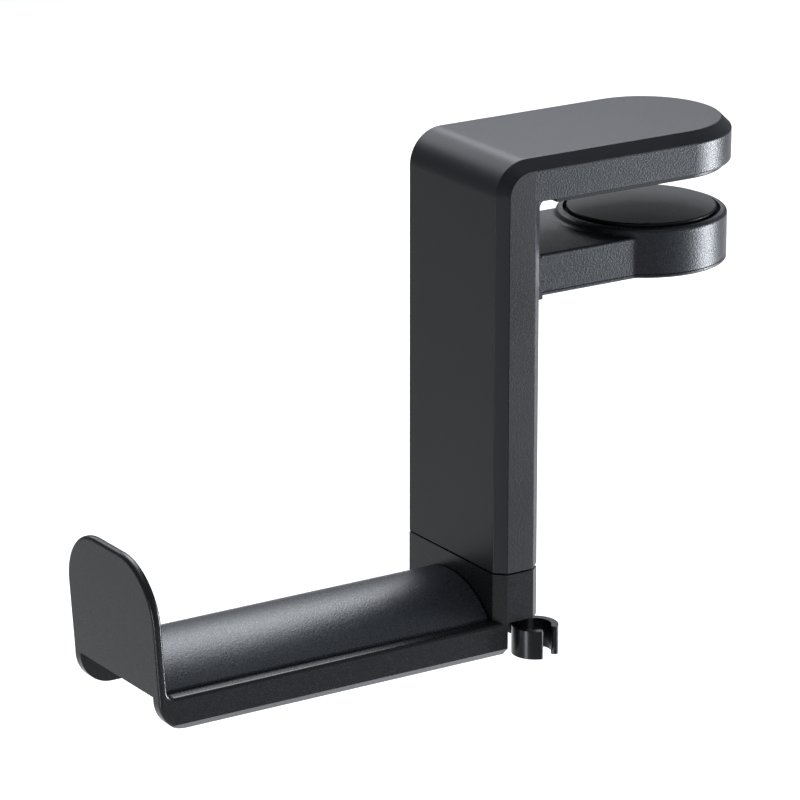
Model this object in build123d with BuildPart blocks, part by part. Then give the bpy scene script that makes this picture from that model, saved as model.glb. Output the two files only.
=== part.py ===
from build123d import *
import math
import os

os.makedirs("parts", exist_ok=True)

# Clamp-on headphone hook, millimetres.
# Origin: on the upper pad's contact face, straight above the middle of the lower pad.
# X runs across the hook, Y from the hook arm towards the tips of the jaws, Z up.

# column and upper jaw
width = 41.0
half_width = width / 2
front_y = -54.0
rear_y = -42.0
side_end_y = -44.2
bevel = 2.5
rear_bevel_x = 1.9
jaw_end_y = 0.7
jaw_top_z = 11.4
lid_edge_z = 8.6
jaw_bottom_z = 1.2
corner_radius = 8.5
column_bottom_z = -87.75
wall = 2.2
cavity_front_y = front_y + wall
cavity_half = half_width - wall
cavity_top_z = 7.4
leg_bottom_z = -4.0
throat_radius = 2.2
lid_rim = wall + 1.0
lid_recess = 0.8
jaw_floor_z = jaw_bottom_z + wall
rib_ys = [-34.0, -20.0, -8.0, 13.0]
rib_wall = 1.6
pad_inset = 1.6
pad_start_y = -37.5
cover_bottom_z = -87.3
part_gap = 0.1
jaw_edge_round = 0.6
pad_edge_round = 0.3

# small screws
boss_radius = 2.9
pilot_radius = 1.1
pilot_fit = 0.03
screw_clearance = 1.4
head_radius_small = 2.2
head_height = 1.1
head_sink = 0.2
head_fit = 0.15
pilot_slack = 0.5
cross_length = 2.6
cross_width = 0.5
cross_depth = 0.5
lid_screw_spots = [(0.0, -28.0), (-11.0, 6.0), (11.0, 6.0)]
lid_screw_length = 7.0
cover_screw_spots = [(-5.5, -7.5), (5.5, -7.5), (-15.3, -79.0), (15.3, -79.0)]
cover_screw_length = 6.5
carriage_screw_spots = [(-4.5, -18.0), (4.5, -18.0)]
carriage_screw_length = 11.0
bottom_screw_spots = [(0.0, -31.0), (-11.5, 8.5), (11.5, 8.5)]
bottom_screw_length = 6.5
saddle_screw_spots = [(0.0, -125.0), (0.0, -72.0)]
saddle_screw_length = 7.5

# guide rods, carriage travel and springs
travel = 30.0
rod_radius = 1.5
rod_fit = 0.03
rod_x = 12.0
rod_y = (cavity_front_y + side_end_y) / 2
rod_top_z = -4.5
rod_bottom_z = -84.0
block_half = 17.8
block_depth = side_end_y - cavity_front_y - 2 * part_gap
head_block_top_z = -1.0
stop_z = -11.1
foot_top_z = -75.0
running_gap = 0.05
carriage_top_z = stop_z - part_gap
carriage_bottom_z = -25.2
carriage_front_y = -51.2
carriage_rear_y = -44.7
carriage_half = 17.0
spring_wire = 0.7
spring_radius = 2.6
spring_turns = 13
rod_chamfer = 0.3
carriage_chamfer = 0.6

# lower jaw and its round head
arm_half = 16.0
arm_top_z = -12.9
arm_bottom_z = -22.9
cover_plate = 1.0
jaw_lower_z = arm_bottom_z + cover_plate
jaw_roof_z = -15.5
head_radius = 20.4
rim_top_z = -11.0
rim_round = 1.0
rim_fillet = 0.9
arm_edge_round = 0.6
blend_radius = 3.0
recess_radius = 18.8
recess_floor_z = -13.3
flange_half = 18.2
flange_rear_y = rear_y + 0.3
flange_face_y = -40.7
root_end_y = -36.0
neck_half = 8.0
neck_top_z = -13.6
neck_bottom_z = -22.3
neck_end_y = -46.5
slot_gap = 0.4
long_rib_y = -28.0
long_rib_length = 18.0
cross_rib_y = -19.0
plate_edge_round = 0.4
parting_bevel = 0.25

# round pressure pad
disc_radius = 18.0
disc_bottom_z = -13.0
facing_bottom_z = -11.7
facing_top_z = -10.25
pivot_radius = 2.0
pivot_boss_radius = 4.5
pivot_shoulder_z = -17.5
pivot_head_radius = 3.6
pivot_head_height = 1.8
driver_slot_width = 0.8
driver_slot_depth = 0.9
facing_round = 0.4

# swivel
axis_y = (front_y + rear_y) / 2
swivel_top_z = -88.1
swivel_bottom_z = -100.0
bolt_radius = 2.0
bolt_seat_z = -81.5
bolt_head_radius = 3.5
bolt_head_height = 3.6
bolt_channel = 8.4
bolt_end_z = -99.7
bolt_chamfer = 0.4
socket_radius = 1.7
socket_depth = 2.0
nut_pocket_radius = 4.7
washer_seat_z = -95.3
washer_radius = 4.3
washer_height = 0.8
wave_height = 0.5
wave_radius = 4.0
nut_across_flats = 7.0
nut_height = 2.8
slip_ring_radius = 5.0
slip_ring_bottom_z = -88.7
core_x = -12.3
core_y = -47.2
core_length = 11.4
core_depth = 6.4
core_height = 9.6

# hook arm
arm_frame_half = 20.0
rail_inner = 16.8
rail_top_z = swivel_bottom_z
rail_bottom_z = -108.6
rail_rear_y = -50.9
rail_bevel = 2.0
heel_radius = 8.2
lip_outer_y = -145.1
lip_thickness = 2.2
lip_top_z = -68.3
lip_lean = math.tan(math.radians(4.0))
lip_corner = 14.5
lip_round = 0.9
lip_rounded_above = 3.0
inner_corner_radius = 2.0
web_top_z = -100.8
web_bottom_z = -102.6
web_front_y = -139.0
cross_wall_front_y = -55.2
cross_wall_rear_y = -53.2
saddle_radius = 22.3
saddle_axis_z = -114.4
saddle_half = 16.4
saddle_wall = 2.0
saddle_boss_height = 7.6
saddle_front_y = -142.4
saddle_rear_y = front_y - 0.3

# cable clip
clip_x = 20.2
clip_y = -43.4
clip_outer = 5.6
clip_inner = 3.9
clip_top_z = -101.8
clip_bottom_z = -108.8
clip_gap_from = -11.0
clip_gap_to = 34.0
clip_end_round = 0.7
stem_bottom_z = -104.8
stem_from_x = 8.0
stem_to_x = 15.8
stem_from_y = -47.5
stem_to_y = -42.6
peg_x = 11.0
peg_y = -45.5
peg_radius = 1.5
peg_length = 5.0

UP = (Align.CENTER, Align.CENTER, Align.MIN)
DOWN = (Align.CENTER, Align.CENTER, Align.MAX)
Z_BACK = [Location(Plane((x, rear_y, z), z_dir=(0, 1, 0))) for x, z in cover_screw_spots]
Z_FRONT = [Location(Plane((x, carriage_front_y, z), z_dir=(0, -1, 0))) for x, z in carriage_screw_spots]


def save(piece, name):
    piece.label = name
    export_step(piece, f"parts/{name}.step")


def at(spots, z):
    return [Location((x, y, z)) for x, y in spots]


def rods_at(z):
    return at([(-rod_x, rod_y), (rod_x, rod_y)], z)


def jaw_plan(inset, start_y):
    """Outline of the upper jaw seen from above, pulled in by inset."""
    half = half_width - inset
    with BuildSketch() as plan:
        with Locations((0, (start_y + jaw_end_y) / 2)):
            Rectangle(2 * half, jaw_end_y - start_y)
        with Locations((0, jaw_end_y)):
            Circle(half)
    return plan.sketch


def lower_plan(inset, start_y):
    """Outline of the lower jaw seen from above: arm, round head and blended waist."""
    with BuildSketch() as plan:
        with Locations((0, start_y / 2)):
            Rectangle(2 * arm_half, -start_y)
        Circle(head_radius)
        waist = plan.vertices().filter_by(lambda v: abs(abs(v.X) - arm_half) < 0.01 and v.Y > start_y + 1)
        fillet(waist, blend_radius)
        if inset > 0:
            offset(plan.sketch, amount=-inset, mode=Mode.REPLACE)
    return plan.sketch


def column_plan(from_y):
    """Column section from one depth to its back face, with bevelled corners."""
    with BuildSketch() as plan:
        with BuildLine():
            Polyline(
                (bevel - half_width, front_y), (half_width - bevel, front_y),
                (half_width, front_y + bevel), (half_width, side_end_y),
                (half_width - rear_bevel_x, rear_y), (rear_bevel_x - half_width, rear_y),
                (-half_width, side_end_y), (-half_width, front_y + bevel),
                close=True,
            )
        make_face()
        with Locations((0, (from_y + rear_y) / 2)):
            Rectangle(3 * width, rear_y - from_y, mode=Mode.INTERSECT)
    return plan.sketch


def lip_face_y(z, depth=0.0):
    """Y of the lip's outer face at height z, or of a face that much further in."""
    return lip_outer_y - (z - rail_top_z) * lip_lean + depth


# outer shell: column front and sides, rounded top corner, lid of the upper jaw
with BuildPart() as outer_shell:
    with BuildSketch(Plane.YZ):
        with BuildLine():
            Polyline(
                (front_y, column_bottom_z), (side_end_y, column_bottom_z), (side_end_y, lid_edge_z),
                (jaw_end_y + half_width, lid_edge_z), (jaw_end_y + half_width, jaw_top_z),
                (front_y, jaw_top_z), close=True,
            )
        make_face()
    extrude(amount=half_width, both=True)
    top_corner = outer_shell.edges().filter_by(Axis.X).group_by(Axis.Z)[-1].sort_by(Axis.Y)[0]
    fillet(top_corner, corner_radius)
    with BuildSketch(Plane.XY.offset(column_bottom_z)):
        add(jaw_plan(0, front_y))
    extrude(amount=jaw_top_z - column_bottom_z, mode=Mode.INTERSECT)
    skin = outer_shell.faces().filter_by(
        lambda f: f.center().Z > jaw_top_z - 0.01 or f.center().Y < front_y + 0.01
        or (f.geom_type == GeomType.CYLINDER and f.center().Y < front_y + corner_radius))
    rim = ShapeList([
        e for f in skin for e in f.edges()
        if e.geom_type == GeomType.CIRCLE or abs(e.tangent_at(0.5).X) < 0.5
    ])
    chamfer(rim, bevel)
    # column cavity, open at the back and the foot
    with BuildSketch(Plane.XY.offset(column_bottom_z)):
        with Locations((0, (cavity_front_y + rear_y) / 2)):
            Rectangle(2 * cavity_half, rear_y - cavity_front_y)
    extrude(amount=cavity_top_z - column_bottom_z, mode=Mode.SUBTRACT)
    # recess under the lid
    with BuildSketch(Plane.XY.offset(lid_edge_z)):
        add(jaw_plan(lid_rim, side_end_y + lid_rim))
    extrude(amount=lid_recess, mode=Mode.SUBTRACT)
    # bosses the lid screws bite into
    with BuildSketch(Plane.XY.offset(jaw_floor_z)):
        with Locations(*lid_screw_spots):
            Circle(boss_radius)
    extrude(amount=lid_edge_z + lid_recess - jaw_floor_z)
    with BuildSketch(Plane.XY.offset(jaw_floor_z)):
        with Locations(*lid_screw_spots):
            Circle(pilot_radius + pilot_fit)
    extrude(amount=jaw_bottom_z + head_sink + lid_screw_length + pilot_slack - jaw_floor_z, mode=Mode.SUBTRACT)
save(outer_shell.part, "outer_shell")

# lower half of the upper jaw: a ribbed tray with a short leg behind the column
with BuildPart() as jaw_frame:
    with BuildSketch(Plane.XY.offset(jaw_bottom_z)):
        add(jaw_plan(0, side_end_y))
    extrude(amount=lid_edge_z - jaw_bottom_z)
    tip_edges = jaw_frame.faces().sort_by(Axis.Z)[0].edges().filter_by(lambda e: e.center().Y > side_end_y + 1)
    fillet(tip_edges, jaw_edge_round)
    with BuildSketch(Plane.XY.offset(leg_bottom_z)):
        add(column_plan(side_end_y))
    extrude(amount=jaw_bottom_z - leg_bottom_z + wall / 2)
    # rounded throat between leg and jaw
    with BuildSketch(Plane.YZ):
        with BuildLine():
            throat = CenterArc((rear_y + throat_radius, jaw_bottom_z - throat_radius), throat_radius, 90, 90)
            Polyline(throat @ 1, (rear_y - 0.5, jaw_bottom_z - throat_radius),
                     (rear_y - 0.5, jaw_bottom_z + 0.5), (rear_y + throat_radius, jaw_bottom_z + 0.5), throat @ 0)
        make_face()
    extrude(amount=half_width - rear_bevel_x, both=True)
    # tray hollow, its ribs left standing
    with BuildSketch(Plane.XY.offset(jaw_floor_z)):
        add(jaw_plan(wall, side_end_y + wall))
        for rib_y in rib_ys:
            with Locations((0, rib_y)):
                Rectangle(width, rib_wall, mode=Mode.SUBTRACT)
    extrude(amount=lid_edge_z - jaw_floor_z, mode=Mode.SUBTRACT)
    with Locations(*at(lid_screw_spots, jaw_bottom_z)):
        Cylinder(screw_clearance, wall, align=UP, mode=Mode.SUBTRACT)
        Cylinder(head_radius_small + head_fit, head_height + head_sink, align=UP, mode=Mode.SUBTRACT)
save(jaw_frame.part, "jaw_frame")

# screws holding the jaw frame to the lid, heads hidden by the pad
with BuildPart() as lid_screws:
    with Locations(*at(lid_screw_spots, jaw_bottom_z + head_sink)):
        Cylinder(head_radius_small, head_height, align=UP)
        Cylinder(pilot_radius, lid_screw_length, align=UP)
save(lid_screws.part, "lid_screws")

# rubber pad under the upper jaw
with BuildPart() as upper_pad:
    with BuildSketch():
        add(jaw_plan(pad_inset, pad_start_y))
    extrude(amount=jaw_bottom_z)
    fillet(upper_pad.faces().sort_by(Axis.Z)[0].edges(), pad_edge_round)
save(upper_pad.part, "upper_pad")

# back cover of the column with the slot the lower jaw slides in
with BuildPart() as rear_cover:
    with BuildSketch(Plane.XY.offset(cover_bottom_z)):
        add(column_plan(side_end_y))
    extrude(amount=leg_bottom_z - part_gap - cover_bottom_z)
    slot_top_z = neck_top_z + slot_gap
    slot_bottom_z = neck_bottom_z - travel - slot_gap
    with Locations((0, rear_y, (slot_top_z + slot_bottom_z) / 2)):
        Box(2 * (neck_half + slot_gap), 4 * wall, slot_top_z - slot_bottom_z, mode=Mode.SUBTRACT)
    with Locations(*Z_BACK):
        Cylinder(screw_clearance, 3 * wall, mode=Mode.SUBTRACT)
        Cylinder(head_radius_small + head_fit, 2 * (head_height + head_sink), mode=Mode.SUBTRACT)
save(rear_cover.part, "rear_cover")

# cross-head screws of the back cover
with BuildPart() as cover_screws:
    with Locations(*Z_BACK):
        with Locations((0, 0, -head_sink)):
            Cylinder(head_radius_small, head_height, align=DOWN)
            Cylinder(pilot_radius, cover_screw_length, align=DOWN)
            Box(cross_length, cross_width, 2 * cross_depth, mode=Mode.SUBTRACT)
            Box(cross_width, cross_length, 2 * cross_depth, mode=Mode.SUBTRACT)
save(cover_screws.part, "cover_screws")

# block in the column head: seats the rods and stops the carriage
with BuildPart() as top_block:
    with Locations((0, rod_y, stop_z)):
        Box(2 * block_half, block_depth, head_block_top_z - stop_z, align=UP)
    with Locations(*rods_at(stop_z)):
        Cylinder(rod_radius + rod_fit, rod_top_z - stop_z, align=UP, mode=Mode.SUBTRACT)
    with Locations(*Z_BACK[:2]):
        Cylinder(pilot_radius + pilot_fit, 2 * (cover_screw_length + pilot_slack), mode=Mode.SUBTRACT)
save(top_block.part, "top_block")

# block in the column foot: seats the rods and carries the swivel bolt
with BuildPart() as foot_block:
    with Locations((0, rod_y, column_bottom_z)):
        Box(2 * block_half, block_depth, foot_top_z - column_bottom_z, align=UP)
    with Locations(*rods_at(foot_top_z)):
        Cylinder(rod_radius + rod_fit, foot_top_z - rod_bottom_z, align=DOWN, mode=Mode.SUBTRACT)
    with Locations((0, rod_y, bolt_seat_z)):
        Box(bolt_channel, 2 * block_depth, foot_top_z - bolt_seat_z, align=UP, mode=Mode.SUBTRACT)
        Cylinder(bolt_radius + rod_fit, bolt_seat_z - column_bottom_z, align=DOWN, mode=Mode.SUBTRACT)
    with Locations(*Z_BACK[2:]):
        Cylinder(pilot_radius + pilot_fit, 2 * (cover_screw_length + pilot_slack), mode=Mode.SUBTRACT)
save(foot_block.part, "foot_block")

# steel guide rods
with BuildPart() as guide_rods:
    with Locations(*rods_at(rod_bottom_z)):
        Cylinder(rod_radius, rod_top_z - rod_bottom_z, align=UP)
    chamfer(guide_rods.edges().filter_by(GeomType.CIRCLE), rod_chamfer)
save(guide_rods.part, "guide_rods")

# slider inside the column
with BuildPart() as carriage:
    with Locations((0, (carriage_front_y + carriage_rear_y) / 2, carriage_bottom_z)):
        Box(2 * carriage_half, carriage_rear_y - carriage_front_y, carriage_top_z - carriage_bottom_z, align=UP)
    chamfer(carriage.edges().filter_by(Axis.Z), carriage_chamfer)
    with Locations(*rods_at(carriage_bottom_z)):
        Cylinder(rod_radius + running_gap, carriage_top_z - carriage_bottom_z, align=UP, mode=Mode.SUBTRACT)
    with Locations((0, neck_end_y, (neck_top_z + neck_bottom_z) / 2)):
        Box(2 * neck_half + part_gap, carriage_rear_y - neck_end_y, neck_top_z - neck_bottom_z + part_gap,
            align=(Align.CENTER, Align.MIN, Align.CENTER), mode=Mode.SUBTRACT)
    with Locations(*Z_FRONT):
        Cylinder(screw_clearance, 4 * block_depth, mode=Mode.SUBTRACT)
        Cylinder(head_radius_small + head_fit, 2 * (head_height + head_sink), mode=Mode.SUBTRACT)
save(carriage.part, "carriage")

# screws through the carriage into the neck of the lower jaw
with BuildPart() as carriage_screws:
    with Locations(*Z_FRONT):
        with Locations((0, 0, -head_sink)):
            Cylinder(head_radius_small, head_height, align=DOWN)
            Cylinder(pilot_radius, carriage_screw_length, align=DOWN)
save(carriage_screws.part, "carriage_screws")

# compression springs around the rods, between carriage and foot block
spring_low_z = foot_top_z + spring_wire / 2 + part_gap
spring_high_z = carriage_bottom_z - spring_wire / 2 - part_gap
spring_length = spring_high_z - spring_low_z
with BuildPart() as jaw_springs:
    with BuildLine() as coil:
        Helix(spring_length / spring_turns, spring_length, spring_radius, center=(rod_x, rod_y, spring_low_z))
    with BuildSketch(Plane(origin=coil.line @ 0, z_dir=coil.line % 0)):
        Circle(spring_wire / 2)
    sweep(path=coil.line, is_frenet=True)
    mirror(about=Plane.YZ)
save(jaw_springs.part, "jaw_springs")

# raised rim of the lower jaw's head
with BuildPart() as head_rim:
    with Locations((0, 0, arm_top_z - rim_round)):
        Cylinder(head_radius, rim_top_z - arm_top_z + rim_round, align=UP)
    fillet(head_rim.faces().sort_by(Axis.Z)[-1].edges(), rim_round)

# hollow fillet between the rim and the top of the arm
with BuildPart() as rim_skirt:
    with BuildSketch(Plane.XZ):
        with BuildLine():
            Polyline(
                (head_radius, arm_top_z + rim_fillet),
                (head_radius - rim_fillet, arm_top_z + rim_fillet),
                (head_radius - rim_fillet, arm_top_z),
                (head_radius + rim_fillet, arm_top_z),
            )
            ThreePointArc(
                (head_radius + rim_fillet, arm_top_z),
                (head_radius + rim_fillet * (1 - math.sqrt(0.5)), arm_top_z + rim_fillet * (1 - math.sqrt(0.5))),
                (head_radius, arm_top_z + rim_fillet),
            )
        make_face()
    revolve(axis=Axis.Z)
    with BuildSketch(Plane.XY.offset(arm_top_z)):
        add(lower_plan(arm_edge_round, flange_face_y))
    extrude(amount=rim_fillet, mode=Mode.INTERSECT)

# lower jaw: arm, round head with that rim, neck into the column
with BuildPart() as lower_jaw:
    with BuildSketch(Plane.XY.offset(jaw_lower_z)):
        add(lower_plan(0, flange_face_y))
    extrude(amount=arm_top_z - jaw_lower_z)
    arm_sides = lower_jaw.edges().filter_by(Axis.Y).group_by(Axis.Z)[-1]
    fillet(arm_sides, arm_edge_round)
    add(head_rim.part)
    add(rim_skirt.part)
    # flange lying over the slot, and the neck through it
    with Locations((0, flange_rear_y, arm_bottom_z)):
        Box(2 * flange_half, flange_face_y - flange_rear_y, arm_top_z - arm_bottom_z,
            align=(Align.CENTER, Align.MIN, Align.MIN))
    with Locations((0, neck_end_y, neck_bottom_z)):
        Box(2 * neck_half, flange_face_y - neck_end_y, neck_top_z - neck_bottom_z,
            align=(Align.CENTER, Align.MIN, Align.MIN))
    # recess for the pressure pad
    with Locations((0, 0, recess_floor_z)):
        Cylinder(recess_radius, rim_top_z - recess_floor_z, align=UP, mode=Mode.SUBTRACT)
    # hollow under arm and head, ribs left standing
    with BuildSketch(Plane.XY.offset(jaw_lower_z)):
        add(lower_plan(wall, flange_face_y))
        with Locations((0, flange_face_y)):
            Rectangle(width, 2 * (root_end_y - flange_face_y), mode=Mode.SUBTRACT)
        with Locations((0, long_rib_y)):
            Rectangle(rib_wall, long_rib_length, mode=Mode.SUBTRACT)
        with Locations((0, cross_rib_y)):
            Rectangle(width, rib_wall, mode=Mode.SUBTRACT)
    extrude(amount=jaw_roof_z - jaw_lower_z, mode=Mode.SUBTRACT)
    with Locations(*at(bottom_screw_spots, jaw_lower_z)):
        Cylinder(boss_radius, jaw_roof_z - jaw_lower_z, align=UP)
        Cylinder(pilot_radius + pilot_fit, bottom_screw_length - cover_plate + pilot_slack, align=UP, mode=Mode.SUBTRACT)
    with Locations((0, 0, pivot_shoulder_z)):
        Cylinder(pivot_boss_radius, jaw_roof_z - pivot_shoulder_z, align=UP)
        Cylinder(pivot_radius + running_gap, rim_top_z - pivot_shoulder_z, align=UP, mode=Mode.SUBTRACT)
    with Locations(*Z_FRONT):
        Cylinder(pilot_radius + pilot_fit, 2 * (carriage_screw_length + pilot_slack), mode=Mode.SUBTRACT)
save(lower_jaw.part, "lower_jaw")

# plate closing the lower jaw from below
with BuildPart() as jaw_bottom_cover:
    with BuildSketch(Plane.XY.offset(arm_bottom_z)):
        add(lower_plan(0, flange_face_y))
    extrude(amount=cover_plate)
    plate_rim = jaw_bottom_cover.faces().sort_by(Axis.Z)[0].edges().filter_by(
        lambda e: e.center().Y > flange_face_y + 1)
    fillet(plate_rim, plate_edge_round)
    # bevel that leaves a fine parting groove under the jaw
    plate_seam = jaw_bottom_cover.faces().sort_by(Axis.Z)[-1].edges().filter_by(
        lambda e: e.center().Y > flange_face_y + 1)
    chamfer(plate_seam, parting_bevel)
    with Locations(*at(bottom_screw_spots, arm_bottom_z)):
        Cone(head_radius_small + part_gap, screw_clearance, cover_plate, align=UP, mode=Mode.SUBTRACT)
save(jaw_bottom_cover.part, "jaw_bottom_cover")

# countersunk screws of the bottom plate
with BuildPart() as bottom_screws:
    with Locations(*at(bottom_screw_spots, arm_bottom_z)):
        Cone(head_radius_small, pilot_radius, cover_plate, align=UP)
        Cylinder(pilot_radius, bottom_screw_length, align=UP)
        Box(cross_length, cross_width, 2 * cross_depth, mode=Mode.SUBTRACT)
        Box(cross_width, cross_length, 2 * cross_depth, mode=Mode.SUBTRACT)
save(bottom_screws.part, "bottom_screws")

# pressure pad: plate, rubber facing and the screw it turns on
with BuildPart() as pad_disc:
    with Locations((0, 0, disc_bottom_z)):
        Cylinder(disc_radius, facing_bottom_z - disc_bottom_z, align=UP)
        Cylinder(pivot_radius, facing_bottom_z - disc_bottom_z, align=UP, mode=Mode.SUBTRACT)
save(pad_disc.part, "pad_disc")

with BuildPart() as pad_facing:
    with Locations((0, 0, facing_bottom_z)):
        Cylinder(disc_radius - part_gap, facing_top_z - facing_bottom_z, align=UP)
    fillet(pad_facing.faces().sort_by(Axis.Z)[-1].edges(), facing_round)
save(pad_facing.part, "pad_facing")

with BuildPart() as pad_pivot:
    with Locations((0, 0, facing_bottom_z)):
        Cylinder(pivot_radius, facing_bottom_z - pivot_shoulder_z + part_gap, align=DOWN)
    with Locations((0, 0, pivot_shoulder_z - part_gap)):
        Cylinder(pivot_head_radius, pivot_head_height, align=DOWN)
    with Locations((0, 0, pivot_shoulder_z - part_gap - pivot_head_height)):
        Box(3 * pivot_head_radius, driver_slot_width, 2 * driver_slot_depth, mode=Mode.SUBTRACT)
save(pad_pivot.part, "pad_pivot")

# swivel bolt with hexagon socket, washers and nut
with BuildPart() as swivel_bolt:
    with Locations((0, axis_y, bolt_seat_z)):
        Cylinder(bolt_head_radius, bolt_head_height, align=UP)
        Cylinder(bolt_radius, bolt_seat_z - bolt_end_z, align=DOWN)
    chamfer(swivel_bolt.faces().sort_by(Axis.Z)[0].edges(), bolt_chamfer)
    with BuildSketch(Plane.XY.offset(bolt_seat_z + bolt_head_height)):
        with Locations((0, axis_y)):
            RegularPolygon(socket_radius, 6)
    extrude(amount=-socket_depth, mode=Mode.SUBTRACT)
save(swivel_bolt.part, "swivel_bolt")

washer_top_z = washer_seat_z - running_gap
with BuildPart() as swivel_washer:
    with Locations((0, axis_y, washer_top_z)):
        Cylinder(washer_radius, washer_height, align=DOWN)
        Cylinder(bolt_radius + rod_fit, washer_height, align=DOWN, mode=Mode.SUBTRACT)
save(swivel_washer.part, "swivel_washer")

wave_top_z = washer_top_z - washer_height
with BuildPart() as wave_washer:
    with Locations((0, axis_y, wave_top_z)):
        Cylinder(wave_radius, wave_height, align=DOWN)
        Cylinder(bolt_radius + rod_fit, wave_height, align=DOWN, mode=Mode.SUBTRACT)
save(wave_washer.part, "wave_washer")

with BuildPart() as swivel_nut:
    with BuildSketch(Plane.XY.offset(wave_top_z - wave_height)):
        with Locations((0, axis_y)):
            RegularPolygon(nut_across_flats / 2, 6, major_radius=False)
            Circle(bolt_radius + rod_fit, mode=Mode.SUBTRACT)
    extrude(amount=-nut_height)
save(swivel_nut.part, "swivel_nut")

# slip ring between column foot and swivel block
with BuildPart() as thrust_washer:
    with Locations((0, axis_y, slip_ring_bottom_z)):
        Cylinder(slip_ring_radius, column_bottom_z - part_gap - slip_ring_bottom_z, align=UP)
        Cylinder(bolt_radius + running_gap, column_bottom_z - slip_ring_bottom_z, align=UP, mode=Mode.SUBTRACT)
save(thrust_washer.part, "thrust_washer")

# swivel block, two rails and the upturned lip in one moulding
with BuildPart() as arm_frame:
    with BuildSketch(Plane.YZ):
        with BuildLine():
            heel = CenterArc(
                (lip_outer_y + heel_radius, rail_bottom_z + heel_radius), heel_radius, 180, 90)
            Polyline(
                heel @ 0, (lip_outer_y, rail_top_z), (lip_face_y(lip_top_z), lip_top_z),
                (lip_face_y(lip_top_z, lip_thickness), lip_top_z),
                (lip_face_y(rail_top_z, lip_thickness), rail_top_z), (rail_rear_y, rail_top_z),
                (rail_rear_y, rail_bottom_z), heel @ 1,
            )
        make_face()
    extrude(amount=arm_frame_half, both=True)
    inner_corner = arm_frame.edges().filter_by(Axis.X).filter_by(
        lambda e: abs(e.center().Z - rail_top_z) < 0.01
        and abs(e.center().Y - lip_outer_y - lip_thickness) < 0.1)
    fillet(inner_corner, inner_corner_radius)
    # front outline: bevelled rail bottoms, round shoulders of the lip
    with BuildSketch(Plane.XZ.offset(-rail_rear_y)) as outline:
        with BuildLine():
            Polyline(
                (rail_bevel - arm_frame_half, rail_bottom_z), (arm_frame_half - rail_bevel, rail_bottom_z),
                (arm_frame_half, rail_bottom_z + rail_bevel), (arm_frame_half, lip_top_z),
                (-arm_frame_half, lip_top_z), (-arm_frame_half, rail_bottom_z + rail_bevel), close=True,
            )
        make_face()
        fillet(outline.vertices().group_by(Axis.Y)[-1], lip_corner)
    extrude(amount=rail_rear_y - lip_outer_y + heel_radius, mode=Mode.INTERSECT)
    # channel between the rails, below and above the web
    with BuildSketch(Plane.YZ):
        with BuildLine():
            Polyline(
                (lip_outer_y - heel_radius, rail_top_z), (lip_outer_y, rail_top_z), (web_front_y, web_bottom_z),
                (rail_rear_y, web_bottom_z), (rail_rear_y, rail_bottom_z - heel_radius),
                (lip_outer_y - heel_radius, rail_bottom_z - heel_radius), close=True,
            )
        make_face()
    extrude(amount=rail_inner, both=True, mode=Mode.SUBTRACT)
    lip_inner_y = lip_face_y(rail_top_z, lip_thickness)
    with Locations((0, lip_inner_y, web_top_z)):
        Box(2 * rail_inner, front_y - lip_inner_y, 2 * inner_corner_radius,
            align=(Align.CENTER, Align.MIN, Align.MIN), mode=Mode.SUBTRACT)
    with Locations((0, (cross_wall_front_y + cross_wall_rear_y) / 2, rail_bottom_z)):
        Box(2 * rail_inner, cross_wall_rear_y - cross_wall_front_y, web_top_z - rail_bottom_z, align=UP)
    with Locations((0, cross_wall_rear_y, rail_bottom_z)):
        Box(2 * rail_inner, rail_rear_y - cross_wall_rear_y, rail_top_z - rail_bottom_z,
            align=(Align.CENTER, Align.MIN, Align.MIN), mode=Mode.SUBTRACT)
    # swivel block
    with BuildSketch(Plane.XY.offset(swivel_bottom_z)):
        add(column_plan(front_y))
    extrude(amount=swivel_top_z - swivel_bottom_z)
    with Locations((0, axis_y, swivel_bottom_z)):
        Cylinder(bolt_radius + running_gap, swivel_top_z - swivel_bottom_z, align=UP, mode=Mode.SUBTRACT)
        Cylinder(nut_pocket_radius, washer_seat_z - swivel_bottom_z, align=UP, mode=Mode.SUBTRACT)
    with Locations((0, axis_y, swivel_top_z)):
        Cylinder(slip_ring_radius + running_gap, swivel_top_z - slip_ring_bottom_z, align=DOWN,
                 mode=Mode.SUBTRACT)
    with Locations((core_x, core_y, swivel_bottom_z)):
        Box(core_length, core_depth, core_height, align=UP, mode=Mode.SUBTRACT)
    with Locations((peg_x, peg_y, swivel_bottom_z)):
        Cylinder(peg_radius + rod_fit, peg_length + pilot_slack, align=UP, mode=Mode.SUBTRACT)
    with Locations(*at(saddle_screw_spots, web_bottom_z)):
        Cylinder(screw_clearance, web_top_z - web_bottom_z, align=UP, mode=Mode.SUBTRACT)
    lip_edges = arm_frame.edges().filter_by(
        lambda e: e.center().Y < lip_outer_y + lip_thickness + 0.5 and e.center().Z > rail_top_z + lip_rounded_above)
    fillet(lip_edges, lip_round)
save(arm_frame.part, "arm_frame")

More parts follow.
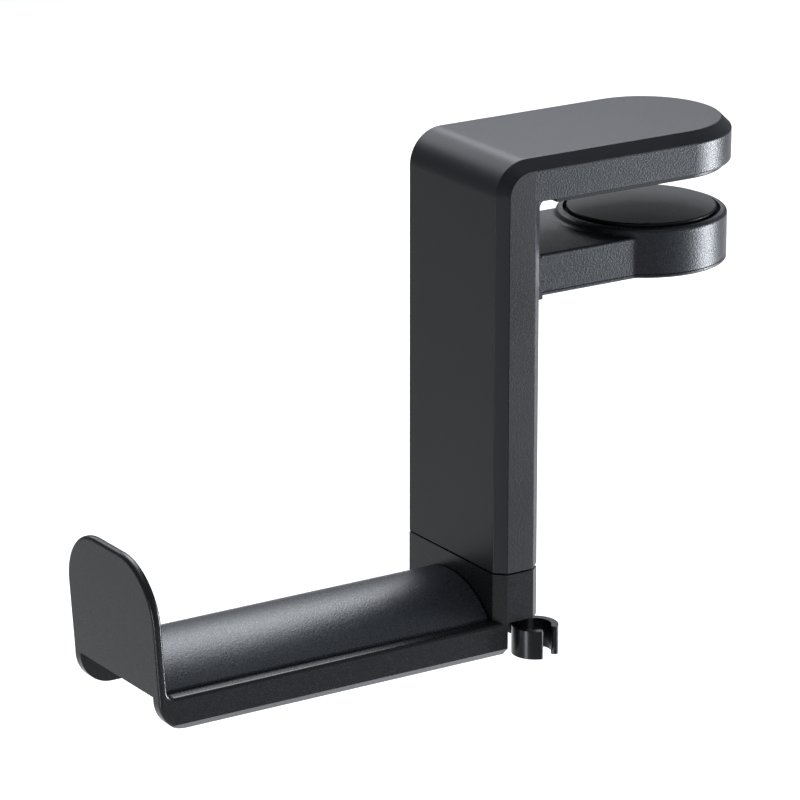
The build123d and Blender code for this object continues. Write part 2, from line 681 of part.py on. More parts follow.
# rounded insert the headband lies on
with BuildPart() as saddle:
    with BuildSketch(Plane.XZ.offset(-saddle_rear_y)):
        with Locations((0, saddle_axis_z)):
            Circle(saddle_radius)
        with Locations((0, web_top_z)):
            Rectangle(2 * saddle_half, saddle_radius, align=(Align.CENTER, Align.MIN), mode=Mode.INTERSECT)
    extrude(amount=saddle_rear_y - saddle_front_y)
    with BuildSketch(Plane.XZ.offset(-saddle_rear_y + saddle_wall)):
        with Locations((0, saddle_axis_z)):
            Circle(saddle_radius - saddle_wall)
        with Locations((0, web_top_z)):
            Rectangle(2 * (saddle_half - saddle_wall), saddle_radius, align=(Align.CENTER, Align.MIN), mode=Mode.INTERSECT)
    extrude(amount=saddle_rear_y - saddle_front_y - 2 * saddle_wall, mode=Mode.SUBTRACT)
    with Locations(*at(saddle_screw_spots, web_top_z)):
        Cylinder(boss_radius, saddle_boss_height, align=UP)
        Cylinder(pilot_radius + pilot_fit, saddle_screw_length + pilot_slack + web_bottom_z - web_top_z, align=UP, mode=Mode.SUBTRACT)
save(saddle.part, "saddle")

# pan-head screws holding the saddle from below
with BuildPart() as saddle_screws:
    with Locations(*at(saddle_screw_spots, web_bottom_z)):
        Cylinder(pilot_radius, saddle_screw_length, align=UP)
        Cylinder(head_radius_small, head_height, align=DOWN)
    with Locations(*at(saddle_screw_spots, web_bottom_z - head_height)):
        Box(cross_length, cross_width, 2 * cross_depth, mode=Mode.SUBTRACT)
        Box(cross_width, cross_length, 2 * cross_depth, mode=Mode.SUBTRACT)
save(saddle_screws.part, "saddle_screws")

# cable clip: open ring on a stem pegged into the swivel block
with BuildPart() as cable_clip:
    with BuildSketch(Plane.XY.offset(clip_bottom_z)) as ring:
        with Locations((clip_x, clip_y)):
            Circle(clip_outer)
            Circle(clip_inner, mode=Mode.SUBTRACT)
        with BuildLine():
            reach = 2 * clip_outer
            Polyline(
                (clip_x, clip_y),
                (clip_x + reach * math.cos(math.radians(clip_gap_from)),
                 clip_y + reach * math.sin(math.radians(clip_gap_from))),
                (clip_x + reach * math.cos(math.radians(clip_gap_to)),
                 clip_y + reach * math.sin(math.radians(clip_gap_to))),
                close=True,
            )
        make_face(mode=Mode.SUBTRACT)
        fillet(ring.vertices(), clip_end_round)
    extrude(amount=clip_top_z - clip_bottom_z)
    with Locations((stem_from_x, stem_from_y, stem_bottom_z)):
        Box(stem_to_x - stem_from_x, stem_to_y - stem_from_y, swivel_bottom_z - stem_bottom_z,
            align=(Align.MIN, Align.MIN, Align.MIN))
    with Locations((peg_x, peg_y, swivel_bottom_z)):
        Cylinder(peg_radius, peg_length, align=UP)
save(cable_clip.part, "cable_clip")
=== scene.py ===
import bmesh
import bpy
import math
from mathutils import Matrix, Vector


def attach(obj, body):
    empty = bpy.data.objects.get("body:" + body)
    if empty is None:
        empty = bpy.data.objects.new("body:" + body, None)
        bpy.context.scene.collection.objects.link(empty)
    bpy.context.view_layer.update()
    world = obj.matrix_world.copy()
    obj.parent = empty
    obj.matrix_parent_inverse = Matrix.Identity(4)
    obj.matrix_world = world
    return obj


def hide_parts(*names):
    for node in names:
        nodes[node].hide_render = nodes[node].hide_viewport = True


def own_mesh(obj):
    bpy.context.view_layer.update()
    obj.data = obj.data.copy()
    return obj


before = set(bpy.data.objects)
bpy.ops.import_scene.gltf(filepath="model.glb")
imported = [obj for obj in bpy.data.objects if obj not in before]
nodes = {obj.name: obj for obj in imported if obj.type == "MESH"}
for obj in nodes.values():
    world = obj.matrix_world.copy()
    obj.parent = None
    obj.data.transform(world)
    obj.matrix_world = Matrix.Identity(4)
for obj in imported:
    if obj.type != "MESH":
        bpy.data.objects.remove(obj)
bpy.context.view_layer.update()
MM = 0.001


# ---------------------------------------------------------------- small tools

def linear(hex_colour):
    """Turns an sRGB hex colour into linear red, green, blue and alpha."""
    values = [int(hex_colour[i:i + 2], 16) / 255 for i in (1, 3, 5)]
    return tuple(v / 12.92 if v <= 0.04045 else ((v + 0.055) / 1.055) ** 2.4 for v in values) + (1.0,)


def add(tree, kind, settings=None, links=None):
    """Adds one node. Settings are its options or its sockets' values; links feed its sockets."""
    node = tree.nodes.new(kind)
    for key, value in (settings or {}).items():
        if isinstance(key, str) and hasattr(node, key):
            setattr(node, key, value)
        else:
            node.inputs[key].default_value = value
    for key, source in (links or {}).items():
        tree.links.new(source, node.inputs[key])
    return node


def per_mm(size_mm):
    """Noise or Voronoi scale that gives features of this size."""
    return 1 / (size_mm * MM)


# ------------------------------------------------------------------ materials

EVERYWHERE = -1000.0


def moulded_plastic(name, dark, light, grain_mm, grain_depth_mm, roughness, sheen_spread, ior=1.5,
                    smooth_share=None, grained_above_mm=EVERYWHERE):
    """Injection-moulded plastic: tool grain as bump, with its colour and gloss shifting a little.
    With a smooth share, only faces that look sideways, above a height, keep the full grain;
    the others have that share of it."""
    pit_size = 1.7 * grain_mm
    pit_weight = 0.4
    cloud_mm = 38.0
    cloud_gloss = 0.025
    side_from, side_full = 0.90, 0.97
    fade_mm = 0.4
    material = bpy.data.materials.new(name)
    material.use_nodes = True
    tree = material.node_tree
    tree.nodes.clear()
    coordinates = add(tree, "ShaderNodeTexCoord").outputs
    place = coordinates["Object"]
    grain = add(tree, "ShaderNodeTexNoise", {"Scale": per_mm(grain_mm), "Detail": 2.0, "Roughness": 0.55},
                {"Vector": place})
    pits = add(tree, "ShaderNodeTexVoronoi", {"Scale": per_mm(pit_size), "feature": "SMOOTH_F1"},
               {"Vector": place})
    height = add(tree, "ShaderNodeMix", {"data_type": "FLOAT", 0: pit_weight},
                 {2: grain.outputs["Fac"], 3: pits.outputs["Distance"]})
    bump = add(tree, "ShaderNodeBump", {"Strength": 1.0, "Distance": grain_depth_mm * MM},
               {"Height": height.outputs[0]})
    if smooth_share is not None:
        facing = add(tree, "ShaderNodeSeparateXYZ", {}, {"Vector": coordinates["Normal"]})
        sideways = add(tree, "ShaderNodeMath", {"operation": "ABSOLUTE"}, {0: facing.outputs["X"]})
        height_up = add(tree, "ShaderNodeSeparateXYZ", {}, {"Vector": place})
        high = add(tree, "ShaderNodeMapRange",
                   {"From Min": (grained_above_mm - fade_mm) * MM,
                    "From Max": (grained_above_mm + fade_mm) * MM},
                   {"Value": height_up.outputs["Z"]})
        grained = add(tree, "ShaderNodeMath", {"operation": "MULTIPLY"},
                      {0: sideways.outputs[0], 1: high.outputs["Result"]})
        share = add(tree, "ShaderNodeMapRange",
                    {"From Min": side_from, "From Max": side_full, "To Min": smooth_share},
                    {"Value": grained.outputs[0]})
        tree.links.new(share.outputs["Result"], bump.inputs["Strength"])
    flow = add(tree, "ShaderNodeTexNoise", {"Scale": per_mm(cloud_mm), "Detail": 3.0}, {"Vector": place})
    tone = add(tree, "ShaderNodeMapRange", {"From Min": 0.36, "From Max": 0.66},
               {"Value": grain.outputs["Fac"]})
    colour = add(tree, "ShaderNodeMix", {"data_type": "RGBA", 6: linear(dark), 7: linear(light)},
                 {0: tone.outputs["Result"]})
    fine = add(tree, "ShaderNodeMapRange",
               {"From Min": 0.3, "From Max": 0.7, "To Min": -sheen_spread, "To Max": sheen_spread},
               {"Value": grain.outputs["Fac"]})
    broad = add(tree, "ShaderNodeMapRange",
                {"From Min": 0.3, "From Max": 0.7, "To Min": roughness - cloud_gloss,
                 "To Max": roughness + cloud_gloss},
                {"Value": flow.outputs["Fac"]})
    gloss = add(tree, "ShaderNodeMath", {"operation": "ADD"},
                {0: fine.outputs["Result"], 1: broad.outputs["Result"]})
    shader = add(tree, "ShaderNodeBsdfPrincipled", {"IOR": ior},
                 {"Base Color": colour.outputs[2], "Roughness": gloss.outputs[0],
                  "Normal": bump.outputs["Normal"]})
    add(tree, "ShaderNodeOutputMaterial", {}, {"Surface": shader.outputs["BSDF"]})
    return material


def turned_metal(name, dark, light, line_mm, roughness):
    """Bright plated steel: fine turning lines round the part and a faint cloud in the plating."""
    line_stretch = 0.12
    line_depth_mm = 0.01
    cloud_mm = 2.5
    material = bpy.data.materials.new(name)
    material.use_nodes = True
    tree = material.node_tree
    tree.nodes.clear()
    place = add(tree, "ShaderNodeTexCoord").outputs["Object"]
    squeezed = add(tree, "ShaderNodeMapping", {"Scale": (line_stretch, line_stretch, 1.0)}, {"Vector": place})
    lines = add(tree, "ShaderNodeTexNoise", {"Scale": per_mm(line_mm), "Detail": 2.0},
                {"Vector": squeezed.outputs["Vector"]})
    cloud = add(tree, "ShaderNodeTexNoise", {"Scale": per_mm(cloud_mm), "Detail": 3.0}, {"Vector": place})
    bump = add(tree, "ShaderNodeBump", {"Strength": 0.6, "Distance": line_depth_mm * MM},
               {"Height": lines.outputs["Fac"]})
    colour = add(tree, "ShaderNodeMix", {"data_type": "RGBA", 6: linear(dark), 7: linear(light)},
                 {0: cloud.outputs["Fac"]})
    gloss = add(tree, "ShaderNodeMapRange", {"To Min": roughness - 0.06, "To Max": roughness + 0.1},
                {"Value": cloud.outputs["Fac"]})
    shader = add(tree, "ShaderNodeBsdfPrincipled", {"Metallic": 1.0},
                 {"Base Color": colour.outputs[2], "Roughness": gloss.outputs["Result"],
                  "Normal": bump.outputs["Normal"]})
    add(tree, "ShaderNodeOutputMaterial", {}, {"Surface": shader.outputs["BSDF"]})
    return material


# ABS moulded in a bead-blasted tool: soft satin charcoal, smooth in front and finely grained at the sides
satin_abs = moulded_plastic("satin_abs", "#16191d", "#1d2026", 0.28, 0.050, 0.38, 0.04, smooth_share=0.12)
# the same ABS from the hook arm's tool, which is polished except round the swivel block
swivel_block_bottom = -100.6
arm_abs = moulded_plastic("arm_abs", "#121417", "#181a1e", 0.28, 0.045, 0.28, 0.03, smooth_share=0.10,
                          grained_above_mm=swivel_block_bottom)
# ABS moulded in a spark-eroded tool: same charcoal, coarser grain that glints.
# The real grain is about 0.1 mm; it is drawn at 0.27 mm so that it shows.
spark_abs = moulded_plastic("spark_abs", "#1b1e22", "#33373e", 0.27, 0.085, 0.36, 0.09)
# ABS of the saddle, finely grained but glossy, so a headband slides on it; its index is set
# above plain ABS's 1.54 to give the strong sheen
saddle_abs = moulded_plastic("saddle_abs", "#23262b", "#373c44", 0.27, 0.100, 0.32, 0.10, ior=1.68)
# polished-tool POM of the cable clip: springy and nearly black, with a clean gloss
gloss_pom = moulded_plastic("gloss_pom", "#0e0f11", "#121316", 0.60, 0.003, 0.24, 0.02)
# plain black glass-filled nylon of the hidden blocks, dry and matte
inner_nylon = moulded_plastic("inner_nylon", "#151516", "#202022", 0.50, 0.030, 0.55, 0.08)
# moulded silicone rubber of the clamping faces: flat, soft black
pad_silicone = moulded_plastic("pad_silicone", "#0f1012", "#151618", 0.40, 0.010, 0.42, 0.03, ior=1.41)
# zinc-plated steel of the screws, bolt, nut and rods
zinc_steel = turned_metal("zinc_steel", "#a9adb2", "#c6cacd", 0.12, 0.30)
# spring steel wire, darker and smoother than the plated screws
spring_steel = turned_metal("spring_steel", "#7c8086", "#979ba0", 0.08, 0.26)


# --------------------------------------------------------------- mesh helpers

def placed(name, mesh, body, finish, slot, *replaced):
    """Links a finished mesh as a piece on a body, standing for the CAD nodes named."""
    piece = bpy.data.objects.new(name, mesh)
    bpy.context.scene.collection.objects.link(piece)
    mesh.materials.clear()
    mesh.materials.append(finish)
    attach(piece, body)
    if replaced:
        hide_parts(*replaced)
    return piece


def made_plain(piece, name):
    """The evaluated mesh of a piece with modifiers, as a plain mesh; the piece itself is removed."""
    bpy.context.view_layer.update()
    evaluated = piece.evaluated_get(bpy.context.evaluated_depsgraph_get())
    mesh = bpy.data.meshes.new_from_object(evaluated)
    mesh.name = name
    bpy.data.objects.remove(piece)
    return mesh


def softened(name, node, body, finish, slot, radius_mm):
    """A CAD node with its sharp edges given the small round a moulding tool leaves."""
    same_point_mm = 0.0005
    flat_within = math.radians(0.4)
    sharp_from = math.radians(33)
    shape = bmesh.new()
    shape.from_mesh(nodes[node].data)
    bmesh.ops.remove_doubles(shape, verts=shape.verts, dist=same_point_mm * MM)
    bmesh.ops.dissolve_limit(shape, angle_limit=flat_within, verts=shape.verts, edges=shape.edges)
    mesh = bpy.data.meshes.new(name)
    shape.to_mesh(mesh)
    shape.free()
    mesh.shade_smooth()
    rough = bpy.data.objects.new(name + "_rough", mesh)
    bpy.context.scene.collection.objects.link(rough)
    edges = rough.modifiers.new("moulded_edges", "BEVEL")
    edges.width = radius_mm * MM
    edges.segments = 3
    edges.limit_method = "ANGLE"
    edges.angle_limit = sharp_from
    edges.use_clamp_overlap = True
    edges.miter_outer = "MITER_SHARP"
    flats = rough.modifiers.new("flat_faces", "WEIGHTED_NORMAL")
    flats.weight = 90
    return placed(name, made_plain(rough, name), body, finish, slot, node)


def carried(node, finish):
    """Gives a CAD node that already has its true shape the finish it needs."""
    nodes[node].data.materials.clear()
    nodes[node].data.materials.append(finish)


# ----------------------------------------------------- screws, threads, coils

def new_tree(name, sizes):
    """An empty geometry tree with a mesh input, one named number input per size and a finish."""
    tree = bpy.data.node_groups.new(name, "GeometryNodeTree")
    tree.interface.new_socket("Geometry", in_out="INPUT", socket_type="NodeSocketGeometry")
    for size in sizes:
        tree.interface.new_socket(size, in_out="INPUT", socket_type="NodeSocketFloat")
    tree.interface.new_socket("Turned To", in_out="INPUT", socket_type="NodeSocketVector")
    tree.interface.new_socket("Finish", in_out="INPUT", socket_type="NodeSocketMaterial")
    tree.interface.new_socket("Geometry", in_out="OUTPUT", socket_type="NodeSocketGeometry")
    return tree


def placed_on_points(tree, given, shape):
    """Ends a tree: one copy of the shape on every point, turned, made real and given its finish."""
    turned = add(tree, "FunctionNodeEulerToRotation", {}, {"Euler": given.outputs["Turned To"]})
    copies = add(tree, "GeometryNodeInstanceOnPoints", {},
                 {"Points": given.outputs["Geometry"], "Instance": shape, "Rotation": turned.outputs[0]})
    real = add(tree, "GeometryNodeRealizeInstances", {}, {"Geometry": copies.outputs["Instances"]})
    finished = add(tree, "GeometryNodeSetMaterial", {},
                   {"Geometry": real.outputs["Geometry"], "Material": given.outputs["Finish"]})
    add(tree, "NodeGroupOutput", {}, {"Geometry": finished.outputs["Geometry"]})


def build_screw_tree():
    """Self-tapping screw, its head's top at the point: head, core, point and helical thread."""
    tree = new_tree("self_tapping_screw", [
        "Head Radius", "Head Top Radius", "Head Height", "Core Radius", "Thread Radius",
        "Length", "Pitch", "Recess Length", "Recess Width", "Recess Depth"])
    given = add(tree, "NodeGroupInput")
    size = given.outputs
    core_share = 0.8
    blunt_share = 0.25
    head_sides, core_sides, thread_steps, thread_sides = 36, 24, 20, 4

    # head with a cross recess, its top at z = 0
    head_z = add(tree, "ShaderNodeMath", {"operation": "MULTIPLY", 1: -1.0}, {0: size["Head Height"]})
    head_place = add(tree, "ShaderNodeCombineXYZ", {}, {"Z": head_z.outputs[0]})
    head = add(tree, "GeometryNodeMeshCone", {"Vertices": head_sides},
               {"Radius Top": size["Head Top Radius"], "Radius Bottom": size["Head Radius"],
                "Depth": size["Head Height"]})
    seated_head = add(tree, "GeometryNodeTransform", {},
                      {"Geometry": head.outputs["Mesh"], "Translation": head_place.outputs[0]})
    recess_height = add(tree, "ShaderNodeMath", {"operation": "MULTIPLY", 1: 2.0}, {0: size["Recess Depth"]})
    long_slot = add(tree, "ShaderNodeCombineXYZ", {},
                    {"X": size["Recess Length"], "Y": size["Recess Width"], "Z": recess_height.outputs[0]})
    cross_slot = add(tree, "ShaderNodeCombineXYZ", {},
                     {"X": size["Recess Width"], "Y": size["Recess Length"], "Z": recess_height.outputs[0]})
    slotted_head = seated_head
    for slot_size in (long_slot, cross_slot):
        cutter = add(tree, "GeometryNodeMeshCube", {}, {"Size": slot_size.outputs[0]})
        slotted_head = add(tree, "GeometryNodeMeshBoolean", {"operation": "DIFFERENCE", "solver": "EXACT"},
                           {"Mesh 1": slotted_head.outputs[0], "Mesh 2": cutter.outputs["Mesh"]})

    # four fifths of the length under the head is core, the last fifth is the point
    shank = add(tree, "ShaderNodeMath", {"operation": "SUBTRACT"},
                {0: size["Length"], 1: size["Head Height"]})
    core_length = add(tree, "ShaderNodeMath", {"operation": "MULTIPLY", 1: core_share}, {0: shank.outputs[0]})
    half_core = add(tree, "ShaderNodeMath", {"operation": "MULTIPLY", 1: 0.5}, {0: core_length.outputs[0]})
    core_middle = add(tree, "ShaderNodeMath", {"operation": "SUBTRACT"},
                      {0: head_z.outputs[0], 1: half_core.outputs[0]})
    core_place = add(tree, "ShaderNodeCombineXYZ", {}, {"Z": core_middle.outputs[0]})
    core = add(tree, "GeometryNodeMeshCylinder", {"Vertices": core_sides},
               {"Radius": size["Core Radius"], "Depth": core_length.outputs[0]})
    seated_core = add(tree, "GeometryNodeTransform", {},
                      {"Geometry": core.outputs["Mesh"], "Translation": core_place.outputs[0]})

    point_length = add(tree, "ShaderNodeMath", {"operation": "MULTIPLY", 1: 1 - core_share},
                       {0: shank.outputs[0]})
    blunt_end = add(tree, "ShaderNodeMath", {"operation": "MULTIPLY", 1: blunt_share},
                    {0: size["Core Radius"]})
    tip_z = add(tree, "ShaderNodeMath", {"operation": "MULTIPLY", 1: -1.0}, {0: size["Length"]})
    tip_place = add(tree, "ShaderNodeCombineXYZ", {}, {"Z": tip_z.outputs[0]})
    point = add(tree, "GeometryNodeMeshCone", {"Vertices": core_sides},
                {"Radius Top": size["Core Radius"], "Radius Bottom": blunt_end.outputs[0],
                 "Depth": point_length.outputs[0]})
    seated_point = add(tree, "GeometryNodeTransform", {},
                       {"Geometry": point.outputs["Mesh"], "Translation": tip_place.outputs[0]})

    # a ridge of square section wound round the core
    turns = add(tree, "ShaderNodeMath", {"operation": "DIVIDE"},
                {0: core_length.outputs[0], 1: size["Pitch"]})
    helix = add(tree, "GeometryNodeCurveSpiral", {"Resolution": thread_steps},
                {"Rotations": turns.outputs[0], "Start Radius": size["Core Radius"],
                 "End Radius": size["Core Radius"], "Height": core_length.outputs[0]})
    ridge = add(tree, "ShaderNodeMath", {"operation": "SUBTRACT"},
                {0: size["Thread Radius"], 1: size["Core Radius"]})
    section = add(tree, "GeometryNodeCurvePrimitiveCircle", {"Resolution": thread_sides},
                  {"Radius": ridge.outputs[0]})
    thread = add(tree, "GeometryNodeCurveToMesh", {"Fill Caps": True},
                 {"Curve": helix.outputs["Curve"], "Profile Curve": section.outputs["Curve"]})
    core_end = add(tree, "ShaderNodeMath", {"operation": "SUBTRACT"},
                   {0: head_z.outputs[0], 1: core_length.outputs[0]})
    thread_place = add(tree, "ShaderNodeCombineXYZ", {}, {"Z": core_end.outputs[0]})
    seated_thread = add(tree, "GeometryNodeTransform", {},
                        {"Geometry": thread.outputs["Mesh"], "Translation": thread_place.outputs[0]})

    whole = add(tree, "GeometryNodeJoinGeometry")
    for part in (slotted_head, seated_core, seated_point, seated_thread):
        tree.links.new(part.outputs[0], whole.inputs["Geometry"])
    placed_on_points(tree, given, whole.outputs["Geometry"])
    return tree


def build_coil_tree():
    """Compression spring standing on the point: open coils, with closed coils at both ends."""
    tree = new_tree("compression_spring", ["Coil Radius", "Wire Radius", "Height", "Turns"])
    given = add(tree, "NodeGroupInput")
    size = given.outputs
    coil_steps, wire_sides = 36, 12
    closed_share, closed_rise = 0.1, 0.028
    helix = add(tree, "GeometryNodeCurveSpiral", {"Resolution": coil_steps},
                {"Rotations": size["Turns"], "Start Radius": size["Coil Radius"],
                 "End Radius": size["Coil Radius"], "Height": size["Height"]})
    spot = add(tree, "GeometryNodeInputPosition")
    apart = add(tree, "ShaderNodeSeparateXYZ", {}, {"Vector": spot.outputs["Position"]})
    share = add(tree, "ShaderNodeMath", {"operation": "DIVIDE"}, {0: apart.outputs["Z"], 1: size["Height"]})
    closing = add(tree, "ShaderNodeFloatCurve", {}, {"Value": share.outputs[0]})
    bend = closing.mapping.curves[0]
    bend.points.new(closed_share, closed_rise)
    bend.points.new(1 - closed_share, 1 - closed_rise)
    for bend_point in bend.points:
        bend_point.handle_type = "VECTOR"
    closing.mapping.update()
    height = add(tree, "ShaderNodeMath", {"operation": "MULTIPLY"},
                 {0: closing.outputs["Value"], 1: size["Height"]})
    moved = add(tree, "ShaderNodeCombineXYZ", {},
                {"X": apart.outputs["X"], "Y": apart.outputs["Y"], "Z": height.outputs[0]})
    wound = add(tree, "GeometryNodeSetPosition", {},
                {"Geometry": helix.outputs["Curve"], "Position": moved.outputs[0]})
    section = add(tree, "GeometryNodeCurvePrimitiveCircle", {"Resolution": wire_sides},
                  {"Radius": size["Wire Radius"]})
    wire = add(tree, "GeometryNodeCurveToMesh", {"Fill Caps": True},
               {"Curve": wound.outputs["Geometry"], "Profile Curve": section.outputs["Curve"]})
    placed_on_points(tree, given, wire.outputs["Mesh"])
    return tree


def grown(name, tree, points_mm, sizes_mm, turned_to, finish, counts=None):
    """Runs a geometry tree on points given in millimetres and returns the plain mesh it makes."""
    host_mesh = bpy.data.meshes.new(name + "_points")
    host_mesh.from_pydata([[c * MM for c in p] for p in points_mm], [], [])
    host = bpy.data.objects.new(name + "_points", host_mesh)
    bpy.context.scene.collection.objects.link(host)
    growth = host.modifiers.new("growth", "NODES")
    growth.node_group = tree
    values = {key: value * MM for key, value in sizes_mm.items()}
    values.update(counts or {})
    values["Turned To"] = turned_to
    values["Finish"] = finish
    for socket in tree.interface.items_tree:
        if socket.in_out == "INPUT" and socket.name in values:
            growth[socket.identifier] = values[socket.name]
    return made_plain(host, name)


screw_tree = build_screw_tree()
coil_tree = build_coil_tree()
pan_head = {
    "Head Radius": 2.2, "Head Top Radius": 1.7, "Head Height": 1.1, "Core Radius": 0.92, "Thread Radius": 1.1,
    "Pitch": 0.9, "Recess Length": 2.6, "Recess Width": 0.5, "Recess Depth": 0.5,
}
sunk_head = dict(pan_head, **{"Head Radius": 1.1, "Head Top Radius": 2.2, "Head Height": 1.0})
POINTING_DOWN = (0.0, 0.0, 0.0)
POINTING_UP = (math.pi, 0.0, 0.0)
HEAD_TO_BACK = (-math.pi / 2, 0.0, 0.0)
HEAD_TO_FRONT = (math.pi / 2, 0.0, 0.0)


def screws(name, node, body, spots, length_mm, turned_to, head=pan_head):
    """One group of like screws, from the middle of each head's top."""
    mesh = grown(name, screw_tree, spots, dict(head, Length=length_mm), turned_to, zinc_steel)
    return placed(name, mesh, body, zinc_steel, "steel", node)


# the plane that each group's heads lie in
cover_screw_y = -42.2
lid_screw_z = 1.4
carriage_screw_y = -51.0
bottom_screw_z = -22.9
saddle_screw_z = -103.7

screws("cover_screw_set", "cover_screws", "clamp",
       [(-5.5, cover_screw_y, -7.5), (5.5, cover_screw_y, -7.5),
        (-15.3, cover_screw_y, -79.0), (15.3, cover_screw_y, -79.0)],
       6.5, HEAD_TO_BACK)
screws("lid_screw_set", "lid_screws", "clamp",
       [(0.0, -28.0, lid_screw_z), (-11.0, 6.0, lid_screw_z), (11.0, 6.0, lid_screw_z)], 7.0, POINTING_UP)
screws("carriage_screw_set", "carriage_screws", "jaw",
       [(-4.5, carriage_screw_y, -18.0), (4.5, carriage_screw_y, -18.0)], 11.0, HEAD_TO_FRONT)
screws("bottom_screw_set", "bottom_screws", "jaw",
       [(0.0, -31.0, bottom_screw_z), (-11.5, 8.5, bottom_screw_z), (11.5, 8.5, bottom_screw_z)],
       6.5, POINTING_UP, sunk_head)
screws("saddle_screw_set", "saddle_screws", "arm",
       [(0.0, -125.0, saddle_screw_z), (0.0, -72.0, saddle_screw_z)], 8.6, POINTING_UP)

# springs round the guide rods; their foot stays on the foot block, and on the real hook they shorten as the
# jaw opens, while here they keep one height
rod_x = 12.0
rod_y = -48.0
spring_foot_z = -74.55
spring_height = 48.9
coils = placed(
    "jaw_spring_pair",
    grown("jaw_spring_pair", coil_tree, [(-rod_x, rod_y, spring_foot_z), (rod_x, rod_y, spring_foot_z)],
          {"Coil Radius": 2.6, "Wire Radius": 0.35, "Height": spring_height}, POINTING_DOWN, spring_steel,
          {"Turns": 13.0}),
    "clamp", spring_steel, "steel", "jaw_springs")
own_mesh(coils)


# ------------------------------------------------------------ moulded pieces

softened("column_shell", "outer_shell", "clamp", satin_abs, "satin_charcoal", radius_mm=0.22)
softened("upper_jaw_tray", "jaw_frame", "clamp", spark_abs, "textured_charcoal", radius_mm=0.15)
softened("back_cover", "rear_cover", "clamp", spark_abs, "textured_charcoal", radius_mm=0.2)
softened("lower_jaw_body", "lower_jaw", "jaw", spark_abs, "textured_charcoal", radius_mm=0.15)
softened("lower_jaw_plate", "jaw_bottom_cover", "jaw", spark_abs, "textured_charcoal", radius_mm=0.12)
softened("hook_arm", "arm_frame", "arm", arm_abs, "satin_charcoal", radius_mm=0.2)
softened("headband_saddle_shell", "saddle", "arm", saddle_abs, "saddle_plastic", radius_mm=0.25)
softened("cord_clip", "cable_clip", "arm", gloss_pom, "gloss_black", radius_mm=0.4)
softened("desk_pad", "upper_pad", "clamp", pad_silicone, "pad_rubber", radius_mm=0.1)
softened("pressure_pad_facing", "pad_facing", "pad", pad_silicone, "pad_rubber", radius_mm=0.1)
softened("pressure_pad_plate", "pad_disc", "pad", inner_nylon, "inner_plastic", radius_mm=0.15)
carried("top_block", inner_nylon)
carried("foot_block", inner_nylon)
carried("carriage", inner_nylon)
carried("thrust_washer", inner_nylon)
carried("guide_rods", zinc_steel)
carried("swivel_bolt", zinc_steel)
carried("swivel_washer", zinc_steel)
carried("wave_washer", spring_steel)
carried("swivel_nut", zinc_steel)
carried("pad_pivot", zinc_steel)


# ------------------------------------------------------ floor, light, camera

FLOOR_Z = -0.45


def pale_floor():
    """A wide matte floor well below the hook, which hangs from a desk edge in use."""
    mesh = bpy.data.meshes.new("pale_floor")
    half = 8.0
    mesh.from_pydata([(-half, -half, FLOOR_Z), (half, -half, FLOOR_Z), (half, half, FLOOR_Z),
                      (-half, half, FLOOR_Z)], [], [(0, 1, 2, 3)])
    floor = bpy.data.objects.new("pale_floor", mesh)
    bpy.context.scene.collection.objects.link(floor)
    paint = bpy.data.materials.new("pale_floor_paint")
    paint.use_nodes = True
    paint.node_tree.nodes.clear()
    shader = add(paint.node_tree, "ShaderNodeBsdfDiffuse", {"Color": linear("#f4f4f4")})
    add(paint.node_tree, "ShaderNodeOutputMaterial", {}, {"Surface": shader.outputs["BSDF"]})
    mesh.materials.append(paint)


def softbox(name, place, aimed_at, width, height, watts):
    """A flat studio light at a place, facing a point."""
    light = bpy.data.lights.new(name, "AREA")
    light.shape = "RECTANGLE"
    light.size = width
    light.size_y = height
    light.energy = watts
    light.color = linear("#f4f8ff")[:3]
    lamp = bpy.data.objects.new(name, light)
    lamp.location = place
    lamp.rotation_euler = (Vector(aimed_at) - Vector(place)).to_track_quat("-Z", "Y").to_euler()
    bpy.context.scene.collection.objects.link(lamp)


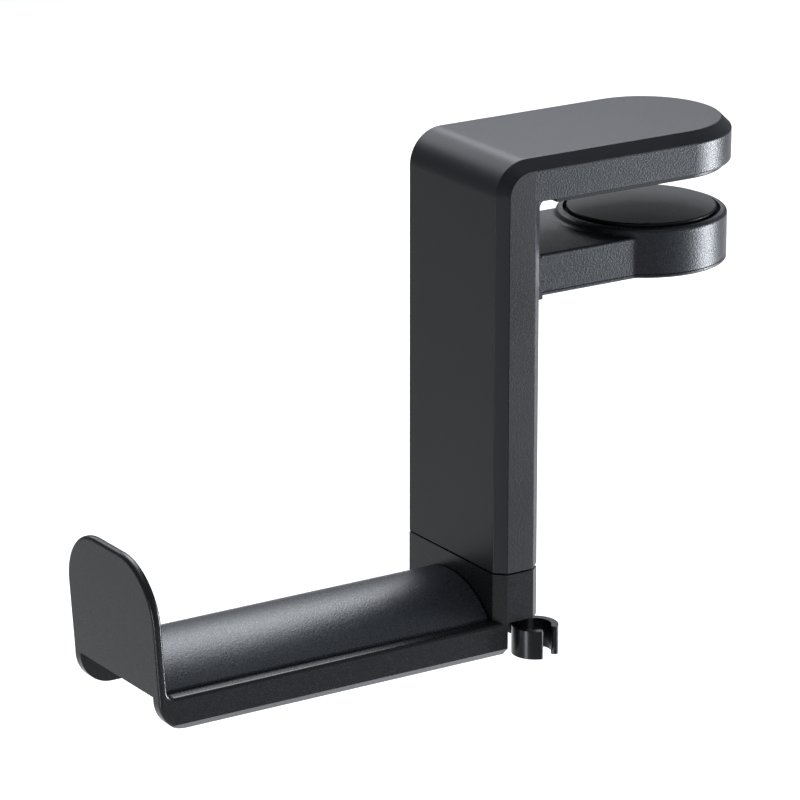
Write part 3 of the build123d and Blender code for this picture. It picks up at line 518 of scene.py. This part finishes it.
def floor_wash(place, watts):
    """A soft-edged spotlight straight down, so that the floor behind the hook stays white."""
    light = bpy.data.lights.new("floor_wash", "SPOT")
    light.energy = watts
    light.spot_size = math.radians(98)
    light.spot_blend = 1.0
    light.shadow_soft_size = 0.05
    lamp = bpy.data.objects.new("floor_wash", light)
    lamp.location = place
    bpy.context.scene.collection.objects.link(lamp)


# name, place, aim, width, height in metres, watts
HOOK = (0.0, -0.05, -0.03)
BEHIND_HOOK = (-1.25, 0.78, FLOOR_Z)
softboxes = [
    ("back_panel", (-0.55, 0.30, 0.52), HOOK, 0.35, 0.35, 1.2),
    ("high_panel", (-0.40, 0.25, 0.75), HOOK, 0.60, 0.50, 4.3),
    ("left_panel", (-0.85, -0.10, 0.45), HOOK, 0.45, 0.40, 1.5),
    ("overhead_panel", (0.10, -0.10, 1.0), (0.0, -0.05, 0.0), 0.60, 0.60, 1.0),
    ("right_strip", (0.31, 0.60, -0.19), (0.0, 0.0, 0.0), 0.16, 0.30, 6.2),
    ("front_glow", (-1.0, -0.72, -0.28), HOOK, 0.40, 0.25, 0.05),
    ("clip_strip", (0.22, -0.86, -0.33), (0.0, -0.04, -0.11), 0.14, 0.40, 1.5),
    ("background_panel", (-1.25, 0.78, 0.50), BEHIND_HOOK, 1.3, 1.3, 2.6),
]

pale_floor()
for name, place, aim, width, height, watts in softboxes:
    softbox(name, place, aim, width, height, watts)
floor_wash((-1.2, 0.72, 1.2), 130.0)

world = bpy.data.worlds.new("studio")
world.use_nodes = True
sky = world.node_tree.nodes["Background"]
sky.inputs["Color"].default_value = linear("#f6fafe")
sky.inputs["Strength"].default_value = 0.22
bpy.context.scene.world = world
bpy.context.scene.view_settings.view_transform = "Standard"

camera_data = bpy.data.cameras.new("camera")
camera_data.lens = 215.26
camera_data.sensor_width = 36.0
camera = bpy.data.objects.new("camera", camera_data)
camera.location = (0.89271, -0.64063, 0.29561)
camera.rotation_euler = (math.radians(72.069), 0.0, math.radians(57.332))
bpy.context.scene.collection.objects.link(camera)
bpy.context.scene.camera = camera
